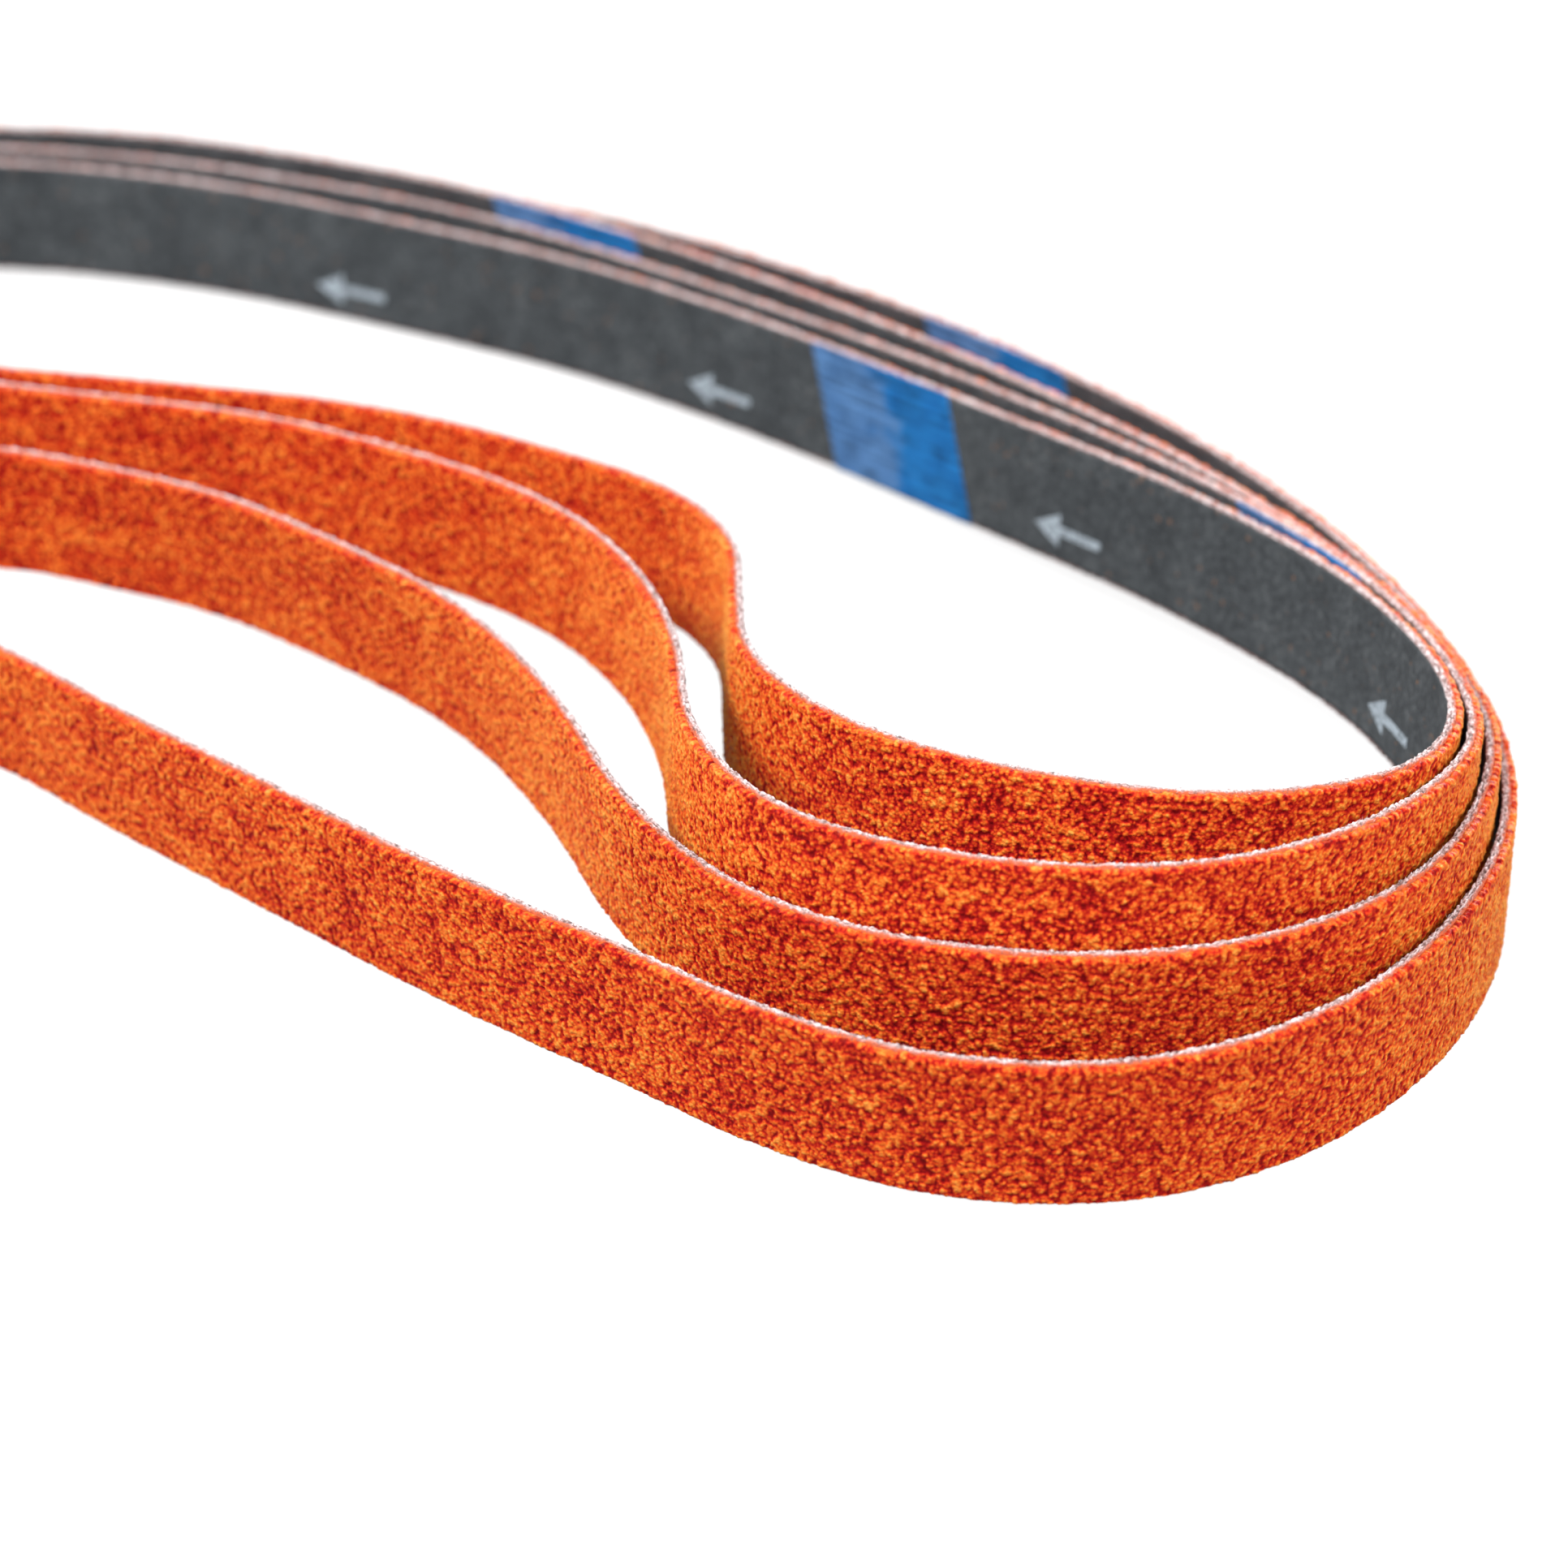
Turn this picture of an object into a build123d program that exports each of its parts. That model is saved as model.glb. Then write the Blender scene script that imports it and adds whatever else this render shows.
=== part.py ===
from build123d import *
import math
import os

os.makedirs("parts", exist_ok=True)

# ---------------------------------------------------------------------------
# Four equal, narrow, endless abrasive belts, nested one inside the next and
# lying on their edges.  Belt 4 is the outermost and lies flat on the floor;
# the others are tipped up a little more at the front, one after the other.
# Every belt is a flat-wise closed loop: a path of tangent arcs in its own
# plane, given the belt's width along the plane's normal.
#
# Frame: millimetres, +Z up, +X along the long way of the nest, front at -Y.
# The origin is on the floor, under the middle of the nest's outline.
# ---------------------------------------------------------------------------

# ---- driving dimensions ----------------------------------------------------
BELT_WIDTH = 12.7          # 1/2 in
BELT_LENGTH = 609.6        # 24 in, round the cloth's running face

CLOTH = 0.65               # woven backing
BACK_COAT = 0.05           # dark filler on the cloth's running face
MAKE_COAT = 0.10           # resin that holds the grain
GRAIN_COAT = 0.50          # grain with its size coat
EDGE_CHIP = 0.15           # grain coat stops this short of each cut edge

TAPE_LENGTH = 20.0         # splice tape, along the belt
TAPE = 0.12
TAPE_GLUE = 0.03
TAPE_INSET = 0.10          # tape stops this short of each cut edge
BUTT_GAP = 0.20            # opening between the two butted ends
SPLICE_SLANT = 21.0        # degrees off square

PRINT = 0.03               # ink of the run arrows
ARROWS = 12                # one every 2 in
ARROW_LENGTH = 9.0
ARROW_HEAD = 3.4
ARROW_STEM = 0.9
ARROW_LEVEL = 3.4          # middle of the arrow above the belt's lower edge

# ---- stack, measured outwards from the middle of the belt's thickness --------
TOTAL = BACK_COAT + CLOTH + MAKE_COAT + GRAIN_COAT
N_BACK = -TOTAL / 2
N_CLOTH = N_BACK + BACK_COAT
N_MAKE = N_CLOTH + CLOTH
N_GRAIN = N_MAKE + MAKE_COAT
N_OUT = N_GRAIN + GRAIN_COAT
N_GLUE = N_BACK - TAPE_GLUE
N_TAPE = N_GLUE - TAPE


# ---- paths made of tangent arcs ----------------------------------------------
def arc_to(x, y, heading, qx, qy):
    """The arc that leaves (x, y) at a heading and passes through (qx, qy)."""
    dx = qx - x
    dy = qy - y
    chord = math.hypot(dx, dy)
    turn = math.atan2(dy, dx) - heading
    turn = (turn + math.pi) % (2 * math.pi) - math.pi
    curvature = 2 * math.sin(turn) / chord
    length = chord
    if abs(turn) > 1e-6:
        length = chord * turn / math.sin(turn)
    return (x, y, heading, curvature, length)


def biarc(start, end):
    """Two tangent arcs that join two stations (x, y, heading in degrees)."""
    a0 = math.radians(start[2])
    a1 = math.radians(end[2])
    vx = end[0] - start[0]
    vy = end[1] - start[1]
    tx = math.cos(a0) + math.cos(a1)
    ty = math.sin(a0) + math.sin(a1)
    a = 2 * (1 - math.cos(a0 - a1))
    b = 2 * (vx * tx + vy * ty)
    c = -(vx * vx + vy * vy)
    if a < 1e-9:
        reach = -c / b
    else:
        reach = (math.sqrt(b * b - 4 * a * c) - b) / (2 * a)
    jx = (start[0] + end[0] + reach * (math.cos(a0) - math.cos(a1))) / 2
    jy = (start[1] + end[1] + reach * (math.sin(a0) - math.sin(a1))) / 2
    first = arc_to(start[0], start[1], a0, jx, jy)
    second = arc_to(jx, jy, a0 + first[3] * first[4], end[0], end[1])
    return [first, second]


def path_through(stations):
    """Closed path, anticlockwise seen from above."""
    arcs = []
    for i in range(len(stations)):
        arcs += biarc(stations[i], stations[(i + 1) % len(stations)])
    return arcs


def point_on(arc, s, n):
    """Point s along an arc and n outwards from it, with the heading there."""
    x, y, heading, curvature, _ = arc
    b = heading + curvature * s
    if abs(curvature) < 1e-9:
        px = x + s * math.cos(heading)
        py = y + s * math.sin(heading)
    else:
        px = x + (math.sin(b) - math.sin(heading)) / curvature
        py = y - (math.cos(b) - math.cos(heading)) / curvature
    return px + n * math.sin(b), py - n * math.cos(b), b


def path_length(arcs):
    return sum(arc[4] for arc in arcs)


def running_length(arcs):
    """Length round the inner face: one full turn is lost to the thickness."""
    return path_length(arcs) + 2 * math.pi * N_BACK


def place_on(arcs, s):
    """Point and heading at a distance s from the path's start."""
    for arc in arcs:
        if s <= arc[4]:
            return point_on(arc, s, 0.0)
        s -= arc[4]
    return point_on(arcs[-1], arcs[-1][4], 0.0)


def piece_of(arcs, s_from, s_to):
    """The arcs between two distances along the path."""
    out = []
    start = 0.0
    for arc in arcs:
        lo = max(s_from, start) - start
        hi = min(s_to, start + arc[4]) - start
        if hi - lo > 1e-4:
            x, y, b = point_on(arc, lo, 0.0)
            out.append((x, y, b, arc[3], hi - lo))
        start += arc[4]
    return out


# ---- bands -------------------------------------------------------------------
def offset_edges(arcs, n):
    """Edges of the path moved outwards by n: arcs stay arcs."""
    edges = []
    for arc in arcs:
        p = point_on(arc, 0.0, n)
        m = point_on(arc, arc[4] / 2, n)
        q = point_on(arc, arc[4], n)
        edges.append(ThreePointArc(p[:2], m[:2], q[:2]))
    return edges


def ring(arcs, n_in, n_out, z_from, z_to):
    """A closed band: the layer from n_in to n_out, standing on its edge."""
    outer = Face(Wire(offset_edges(arcs, n_out)))
    inner = Face(Wire(offset_edges(arcs, n_in)))
    band = extrude(outer - inner, amount=z_to - z_from, dir=(0, 0, 1))
    return Pos(0, 0, z_from) * band


def strip(arcs, n_in, n_out, s_from, s_to, z_from, z_to):
    """An open length of a layer."""
    arcs = piece_of(arcs, s_from, s_to)
    inner = offset_edges(arcs, n_in)
    outer = offset_edges(arcs, n_out)
    ends = [Line(inner[0] @ 0, outer[0] @ 0), Line(inner[-1] @ 1, outer[-1] @ 1)]
    face = Face(Wire(inner + outer + ends))
    return Pos(0, 0, z_from) * extrude(face, amount=z_to - z_from, dir=(0, 0, 1))


def slanted_slab(arcs, s, thickness):
    """A slab square to the belt's faces, leaning by the splice's slant."""
    x, y, b = place_on(arcs, s)
    across = Plane(
        origin=(x, y, BELT_WIDTH / 2),
        x_dir=(math.cos(b), math.sin(b), 0),
        z_dir=(0, 0, 1),
    )
    return across * Rot(Y=SPLICE_SLANT) * Box(thickness, 8, 4 * BELT_WIDTH)


# ---- the layers of one belt ----------------------------------------------------
def splice_cut(arcs, s):
    """The gap between the two ends butted under the tape."""
    return slanted_slab(arcs, s, BUTT_GAP)


def backing(arcs, s):
    """Woven cloth, the full width of the belt."""
    return ring(arcs, N_CLOTH, N_MAKE, 0, BELT_WIDTH) - splice_cut(arcs, s)


def back_coat(arcs, s):
    """Dark filler that closes the cloth's running face."""
    return ring(arcs, N_BACK, N_CLOTH, 0, BELT_WIDTH) - splice_cut(arcs, s)


def make_coat(arcs, s):
    """Resin under the grain."""
    top = BELT_WIDTH - EDGE_CHIP
    return ring(arcs, N_MAKE, N_GRAIN, EDGE_CHIP, top) - splice_cut(arcs, s)


def grain_coat(arcs, s):
    """Abrasive grain under its size coat, the outer face of the belt."""
    top = BELT_WIDTH - EDGE_CHIP
    return ring(arcs, N_GRAIN, N_OUT, EDGE_CHIP, top) - splice_cut(arcs, s)


def across_splice(arcs, s, n_in, n_out):
    """A patch on the running face, with ends parallel to the butt joint."""
    reach = TAPE_LENGTH / 2 + BELT_WIDTH / 2
    top = BELT_WIDTH - TAPE_INSET
    patch = strip(arcs, n_in, n_out, s - reach, s + reach, TAPE_INSET, top)
    return patch & slanted_slab(arcs, s, TAPE_LENGTH)


def splice_glue(arcs, s):
    return across_splice(arcs, s, N_GLUE, N_BACK)


def splice_tape(arcs, s):
    return across_splice(arcs, s, N_TAPE, N_GLUE)


def arrow(arcs, s):
    """One run arrow, printed on the running face and pointing along +s."""
    x, y, b = place_on(arcs, s)
    half = ARROW_LENGTH / 2
    neck = half - ARROW_HEAD
    outline = Polyline(
        (-half, -ARROW_STEM / 2),
        (neck, -ARROW_STEM / 2),
        (neck, -ARROW_HEAD / 2),
        (half, 0),
        (neck, ARROW_HEAD / 2),
        (neck, ARROW_STEM / 2),
        (-half, ARROW_STEM / 2),
        close=True,
    )
    facing = Plane(
        origin=(x, y, ARROW_LEVEL),
        x_dir=(math.cos(b), math.sin(b), 0),
        z_dir=(math.sin(b), -math.cos(b), 0),
    )
    stamp = facing * extrude(make_face(outline), amount=3, both=True)
    film = strip(arcs, N_BACK - PRINT, N_BACK, s - 6, s + 6, 0, 2 * ARROW_LEVEL)
    return film & stamp


def run_arrows(arcs, s):
    """Arrows all round the belt, midway between one another and the splice."""
    whole = path_length(arcs)
    out = []
    for i in range(ARROWS):
        at = (s + whole * (i + 0.5) / ARROWS) % whole
        at = min(max(at, 6.5), whole - 6.5)
        out += arrow(arcs, at).solids()
    return Compound(children=out)


# ---- how each belt lies ----------------------------------------------------------
# Stations are (x, y, heading in degrees) in the belt's own plane, going
# anticlockwise: left bow, left foot, front run, right bow, back run.  One of the
# stations that no outer belt touches slides by t, so that the running length
# comes out right.
TIP_LINE = 37.0            # the belts tip about a line along X at this y


def belt_1_stations(t):
    return [
        (-108.8, 7, 270),      # left bow
        (-96.5, -31.5, 305),
        (-74, -50, 0),         # bottom of the left foot
        (-67, -36, 130),
        (-76.5 - t, -16, 40),  # the wave overhangs the foot
        (-37.5, -9.5, 19),
        (9, 0, 354),           # crest of the wave
        (36, -8, 321.5),
        (50, -29.5, 297.5),
        (78, -46, 0),          # bottom of the right bow
        (103, -38, 44),
        (110.6, -23.5, 87),    # right end
        (104, -4, 125),
        (60.5, 28, 157),
        (0, 51, 165),
        (-44.5, 56, 178),      # back run's far side
        (-83, 49, 206),
        (-101.5, 31.5, 240),
    ]


def belt_2_stations(t):
    return [
        (-111.5, 7, 270),
        (-98, -33.5, 306),
        (-73, -52.5, 0),
        (-60, -38, 85),
        (-53.5 - t, -18.5, 45),
        (-30.5, -10.5, 14),
        (-7, -6.5, 359),
        (30.5, -17, 323),
        (50.5, -41, 298),
        (77, -59.5, 1),
        (105, -45.5, 54.5),
        (112.5, -23.5, 87),
        (104.5, -1.5, 125.5),
        (63.5, 30.5, 154.5),
        (-1, 54, 165),
        (-38, 60, 180),
        (-80, 53.5, 202),
        (-102.5, 36, 236),
    ]


def belt_3_stations(t):
    return [
        (-113.6, 8, 270),
        (-101, -34, 305),
        (-73, -54, 0),
        (-47.5 + t, -39, 58),
        (-40, -21, 34),
        (-18, -17, 1),
        (11.5, -23, 342),
        (44.5, -45, 314),
        (78, -61, 3),
        (107.8, -45.5, 53.5),
        (114.5, -25.5, 89.5),
        (107.8, -1.5, 125),
        (59.5, 36, 155),
        (-1.5, 57.5, 166.5),
        (-38, 63, 180),
        (-80, 57, 201),
        (-103.5, 39, 236),
    ]


def belt_4_stations(t):
    return [
        (-116 - t, 8, 270),
        (-103 - t, -37, 301),
        (-75, -56.3, 0),
        (-55, -51.5, 23),
        (-26, -43.5, 0),
        (5.5, -51, 344.5),
        (51, -63, 348.5),
        (80.5, -68, 0),
        (108, -54, 55),
        (116.4, -26.5, 89),
        (106.5, 5.5, 124),
        (66.5, 43, 149),
        (3, 66.5, 169),
        (-34, 69.5, 180),
        (-78, 60.5, 202),
        (-107 - t, 38, 238),
    ]


# belt: (stations, tilt in degrees, rise, splice's distance along the path)
BELTS = {
    1: (belt_1_stations, 6.5, 2.6, 441.0),
    2: (belt_2_stations, 5.0, 3.2, 377.0),
    3: (belt_3_stations, 0.8, 3.6, 482.0),
    4: (belt_4_stations, 0.0, 0.0, 423.0),
}

LAYERS = {
    "backing": backing,
    "back_coat": back_coat,
    "make_coat": make_coat,
    "abrasive_coat": grain_coat,
    "splice_glue": splice_glue,
    "splice_tape": splice_tape,
    "run_arrows": run_arrows,
}


def path_of(stations):
    """Slide the free station until the running length is BELT_LENGTH."""
    lo = -4.0
    hi = 6.0
    for _ in range(50):
        mid = (lo + hi) / 2
        if running_length(path_through(stations(mid))) > BELT_LENGTH:
            hi = mid
        else:
            lo = mid
    return path_through(stations(mid))


def middle_of(arcs):
    """Middle of the box round the belt's outer face, in plan."""
    return Wire(offset_edges(arcs, N_OUT)).bounding_box().center()


# The outermost belt is the nest's outline: its middle is the origin.
MIDDLE = middle_of(path_of(belt_4_stations))


def lay(solid, tilt, rise):
    """Tip a belt about TIP_LINE, front edge up, lift it and centre it."""
    tip = Pos(0, TIP_LINE, rise) * Rot(X=-tilt) * Pos(0, -TIP_LINE, 0)
    return Pos(-MIDDLE.X, -MIDDLE.Y, 0) * tip * solid


for number, (stations, tilt, rise, splice) in BELTS.items():
    arcs = path_of(stations)
    for layer, make in LAYERS.items():
        node = lay(make(arcs, splice), tilt, rise)
        export_step(node, f"parts/belt_{number}_{layer}.step")
    print(number, round(running_length(arcs), 3), "mm round")
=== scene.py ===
"""Looks for four narrow abrasive belts, nested and lying on their edges.

Every belt is an open strip of four layers, bent round a closed path and butted
at a slanted splice.  Its surfaces are grids over three belt coordinates:
  s  distance along the path,
  n  distance outwards from the middle of the belt's thickness,
  h  height above the belt's lower edge, square to the plane it lies in.
Lengths here are millimetres; meshes are written in metres.
"""

import math

import bpy
import numpy as np
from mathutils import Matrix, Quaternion, Vector


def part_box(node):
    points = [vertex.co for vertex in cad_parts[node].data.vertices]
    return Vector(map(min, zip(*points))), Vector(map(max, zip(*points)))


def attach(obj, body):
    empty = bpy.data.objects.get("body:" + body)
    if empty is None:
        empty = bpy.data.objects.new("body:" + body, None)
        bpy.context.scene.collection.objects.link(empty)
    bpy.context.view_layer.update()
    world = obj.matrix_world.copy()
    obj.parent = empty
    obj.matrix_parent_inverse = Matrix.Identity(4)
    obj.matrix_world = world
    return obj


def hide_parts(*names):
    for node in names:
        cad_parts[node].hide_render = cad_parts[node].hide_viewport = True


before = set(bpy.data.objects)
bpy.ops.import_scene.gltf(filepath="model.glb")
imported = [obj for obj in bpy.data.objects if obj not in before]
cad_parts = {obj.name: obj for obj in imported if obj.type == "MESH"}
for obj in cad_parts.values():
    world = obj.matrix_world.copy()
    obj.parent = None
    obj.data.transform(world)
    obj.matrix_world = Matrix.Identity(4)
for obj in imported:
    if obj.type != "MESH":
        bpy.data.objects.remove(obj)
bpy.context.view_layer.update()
MM = 0.001

# ---- the belt, as the CAD part has it ------------------------------------------
BELT_WIDTH = 12.7
BELT_LENGTH = 609.6        # round the running face
N_BACK = -0.65             # running face
N_CLOTH = -0.60            # cloth under the dark filler
N_MAKE = 0.05              # resin on the cloth
N_OUT = 0.65               # tips of the grain
N_TAPE = -0.80             # outer face of the splice tape
TAPE_LENGTH = 20.0
TAPE_INSET = 0.10
BUTT_GAP = 0.20
LEAN = math.tan(math.radians(21.0))    # how far the splice leans along the belt
LEAN_FADES = 12.0          # sections lean at the butt joint and stand square this far on
COAT_INSET = 0.15          # the grain coat stops this far inside the cut edges
TIP_LINE = 37.0            # belts tip about a line along X at this y
ALLOWED_OFF = 0.2          # a belt's box may differ this much from its CAD node's

# ---- detail --------------------------------------------------------------------
STEP = 0.145    # spacing of the finest grids
GRAIN_SIZE = 0.56          # spacing of the grains
FINE_SHARE = 0.52          # spacing of the small grains between them, as a share of it
GRAIN_DEPTH = 0.30         # from the tips to the pits
TIPS_PROUD = 0.10          # the highest grains stand this far out of the CAD's even coat
GRAIN_PIECES = 5           # the grain coat is cut into this many lengths
EDGE_ROUND = 0.30          # the grain coat thins out over this much of its edge
CUT_BAND = 0.10            # this much of the grain's edge takes the colour of the cut
FRINGE = 0.12              # the cut cloth swells this far over the dark filler
CLOTH_HEMS = (0.46, 0.36)  # where its back goes under the filler, from the lower and upper edge
WARP_PITCH = 0.42          # the cloth's threads, counted along the belt
WEFT_PITCH = 0.36          # and across it
TAPE_STEP = 0.4            # the tape's grid, along the belt
TAPE_ROWS = 140            # and across it
TAPE_THREADS = 1.05        # spacing of the threads in the tape
TAPE_RIM = 0.15            # this much of the tape's edge turns down
TAPE_SAG = 0.35            # the film sinks into the butt joint over this far
FRAYED = 3200              # loose threads on each belt's cut edges
FRAYED_UPWARDS = 0.80      # the share of them on the upper edge

# each layer draws its own random numbers
GRAIN_DICE, CLOTH_DICE, BACK_DICE, TAPE_DICE, THREAD_DICE = range(5)


# ---- paths made of tangent arcs ------------------------------------------------
# an arc is (x, y, heading, curvature, length)
CURVATURE, LENGTH = 3, 4
ALMOST_STRAIGHT = 1e-9


def arc_to(x, y, heading, qx, qy):
    """The arc that leaves (x, y) at a heading and passes through (qx, qy)."""
    chord = math.hypot(qx - x, qy - y)
    turn = math.atan2(qy - y, qx - x) - heading
    turn = (turn + math.pi) % (2 * math.pi) - math.pi
    length = chord
    if abs(turn) > 1e-6:
        length = chord * turn / math.sin(turn)
    return (x, y, heading, 2 * math.sin(turn) / chord, length)


def biarc(start, end):
    """Two tangent arcs that join two stations (x, y, heading in degrees)."""
    a0 = math.radians(start[2])
    a1 = math.radians(end[2])
    vx = end[0] - start[0]
    vy = end[1] - start[1]
    a = 2 * (1 - math.cos(a0 - a1))
    b = 2 * (vx * (math.cos(a0) + math.cos(a1)) + vy * (math.sin(a0) + math.sin(a1)))
    c = -(vx * vx + vy * vy)
    if a < ALMOST_STRAIGHT:
        reach = -c / b
    else:
        reach = (math.sqrt(b * b - 4 * a * c) - b) / (2 * a)
    jx = (start[0] + end[0] + reach * (math.cos(a0) - math.cos(a1))) / 2
    jy = (start[1] + end[1] + reach * (math.sin(a0) - math.sin(a1))) / 2
    first = arc_to(start[0], start[1], a0, jx, jy)
    return [first, arc_to(jx, jy, a0 + first[CURVATURE] * first[LENGTH], end[0], end[1])]


def belt_1_stations(t):
    return [
        (-108.8, 7, 270),      # left bow
        (-96.5, -31.5, 305),
        (-74, -50, 0),         # bottom of the left foot
        (-67, -36, 130),
        (-76.5 - t, -16, 40),  # the wave overhangs the foot
        (-37.5, -9.5, 19),
        (9, 0, 354),           # crest of the wave
        (36, -8, 321.5),
        (50, -29.5, 297.5),
        (78, -46, 0),          # bottom of the right bow
        (103, -38, 44),
        (110.6, -23.5, 87),    # right end
        (104, -4, 125),
        (60.5, 28, 157),
        (0, 51, 165),
        (-44.5, 56, 178),      # back run's far side
        (-83, 49, 206),
        (-101.5, 31.5, 240),
    ]


def belt_2_stations(t):
    return [
        (-111.5, 7, 270),
        (-98, -33.5, 306),
        (-73, -52.5, 0),
        (-60, -38, 85),
        (-53.5 - t, -18.5, 45),
        (-30.5, -10.5, 14),
        (-7, -6.5, 359),
        (30.5, -17, 323),
        (50.5, -41, 298),
        (77, -59.5, 1),
        (105, -45.5, 54.5),
        (112.5, -23.5, 87),
        (104.5, -1.5, 125.5),
        (63.5, 30.5, 154.5),
        (-1, 54, 165),
        (-38, 60, 180),
        (-80, 53.5, 202),
        (-102.5, 36, 236),
    ]


def belt_3_stations(t):
    return [
        (-113.6, 8, 270),
        (-101, -34, 305),
        (-73, -54, 0),
        (-47.5 + t, -39, 58),
        (-40, -21, 34),
        (-18, -17, 1),
        (11.5, -23, 342),
        (44.5, -45, 314),
        (78, -61, 3),
        (107.8, -45.5, 53.5),
        (114.5, -25.5, 89.5),
        (107.8, -1.5, 125),
        (59.5, 36, 155),
        (-1.5, 57.5, 166.5),
        (-38, 63, 180),
        (-80, 57, 201),
        (-103.5, 39, 236),
    ]


def belt_4_stations(t):
    return [
        (-116 - t, 8, 270),
        (-103 - t, -37, 301),
        (-75, -56.3, 0),
        (-55, -51.5, 23),
        (-26, -43.5, 0),
        (5.5, -51, 344.5),
        (51, -63, 348.5),
        (80.5, -68, 0),
        (108, -54, 55),
        (116.4, -26.5, 89),
        (106.5, 5.5, 124),
        (66.5, 43, 149),
        (3, 66.5, 169),
        (-34, 69.5, 180),
        (-78, 60.5, 202),
        (-107 - t, 38, 238),
    ]


FREE_STATION = (-4.0, 6.0)  # t is looked for in here, until the belt has its length
HALVINGS = 50

# belt: (stations, tilt in degrees, rise, splice's distance along the path)
BELTS = {
    1: (belt_1_stations, 6.5, 2.6, 441.0),
    2: (belt_2_stations, 5.0, 3.2, 377.0),
    3: (belt_3_stations, 0.8, 3.6, 482.0),
    4: (belt_4_stations, 0.0, 0.0, 423.0),
}


class Belt:
    """One belt: turns belt coordinates into places in the frame."""

    middle = (0.0, 0.0)

    def __init__(self, number):
        stations, tilt, self.rise, self.splice = BELTS[number]
        self.number = number
        self.body = f"belt_{number}"
        self.tilt = math.radians(tilt)
        lo, hi = FREE_STATION
        for _ in range(HALVINGS):
            mid = (lo + hi) / 2
            arcs = self.arcs_through(stations(mid))
            if arcs[:, LENGTH].sum() + 2 * math.pi * N_BACK > BELT_LENGTH:
                hi = mid
            else:
                lo = mid
        self.arcs = arcs
        self.starts = np.concatenate([[0.0], np.cumsum(arcs[:, LENGTH])])
        self.whole = self.starts[-1]

    @staticmethod
    def arcs_through(stations):
        arcs = []
        for i in range(len(stations)):
            arcs += biarc(stations[i], stations[(i + 1) % len(stations)])
        return np.array(arcs)

    def in_plane(self, s, n):
        """x and y in the belt's own plane."""
        s = np.mod(s, self.whole)
        which = np.searchsorted(self.starts, s, side="right") - 1
        which = np.clip(which, 0, len(self.arcs) - 1)
        x, y, heading, curvature, _ = self.arcs[which].transpose((-1,) + tuple(range(s.ndim)))
        along = s - self.starts[which]
        straight = np.abs(curvature) < ALMOST_STRAIGHT
        safe = np.where(straight, 1.0, curvature)
        here = heading + curvature * along
        bent_x = (np.sin(here) - np.sin(heading)) / safe
        bent_y = (np.cos(heading) - np.cos(here)) / safe
        dx = np.where(straight, along * np.cos(heading), bent_x)
        dy = np.where(straight, along * np.sin(heading), bent_y)
        return x + dx + n * np.sin(here), y + dy - n * np.cos(here)

    def place(self, s, n, h):
        """Points in the frame, in metres."""
        x, y = self.in_plane(s, n)
        v = y - TIP_LINE
        level = math.cos(self.tilt)
        steep = math.sin(self.tilt)
        out = np.empty(np.broadcast(x, h).shape + (3,))
        out[..., 0] = x - self.middle[0]
        out[..., 1] = TIP_LINE + v * level + h * steep - self.middle[1]
        out[..., 2] = self.rise - v * steep + h * level
        return out * MM


def check_against_frame(belt):
    """The grids have to land on the CAD part, so compare the outer faces' boxes."""
    s = np.linspace(0, belt.whole, 4001)
    n = np.full_like(s, N_OUT)
    edges = (COAT_INSET, BELT_WIDTH - COAT_INSET)
    points = np.concatenate([belt.place(s, n, h) for h in edges])
    lo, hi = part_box(f"{belt.body}_abrasive_coat")
    off = max(np.abs(points.min(0) - lo).max(), np.abs(points.max(0) - hi).max())
    if off > ALLOWED_OFF * MM:
        raise RuntimeError(f"{belt.body} is {off / MM:.2f} mm off its CAD node")


# ---- relief --------------------------------------------------------------------
def dice(belt, layer):
    """Random numbers for one layer of one belt, the same in every run."""
    return np.random.default_rng(100 * belt.number + layer)


def smooth(x):
    """From 0 to 1 and level at both ends."""
    x = np.clip(x, 0.0, 1.0)
    return x * x * (3 - 2 * x)


# the grids of cells below reach past both edges of the belt
CELLS_BELOW = 3
SPARE_CELLS = 8


def noise(rng, s, h, cell, whole):
    """Smooth noise from -1 to 1 over a belt's face, unbroken round the belt."""
    columns = max(1, round(whole / cell))
    rows = int(BELT_WIDTH / cell) + SPARE_CELLS
    lattice = rng.uniform(-1, 1, (columns, rows))
    u = s / whole * columns
    v = h / cell + CELLS_BELOW
    i = np.floor(u).astype(int)
    j = np.clip(np.floor(v).astype(int), 0, rows - 2)
    a = smooth(u - i)
    b = smooth(v - j)
    near = i % columns
    far = (i + 1) % columns
    low = lattice[near, j] * (1 - a) + lattice[far, j] * a
    high = lattice[near, j + 1] * (1 - a) + lattice[far, j + 1] * a
    return low * (1 - b) + high * b


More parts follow.
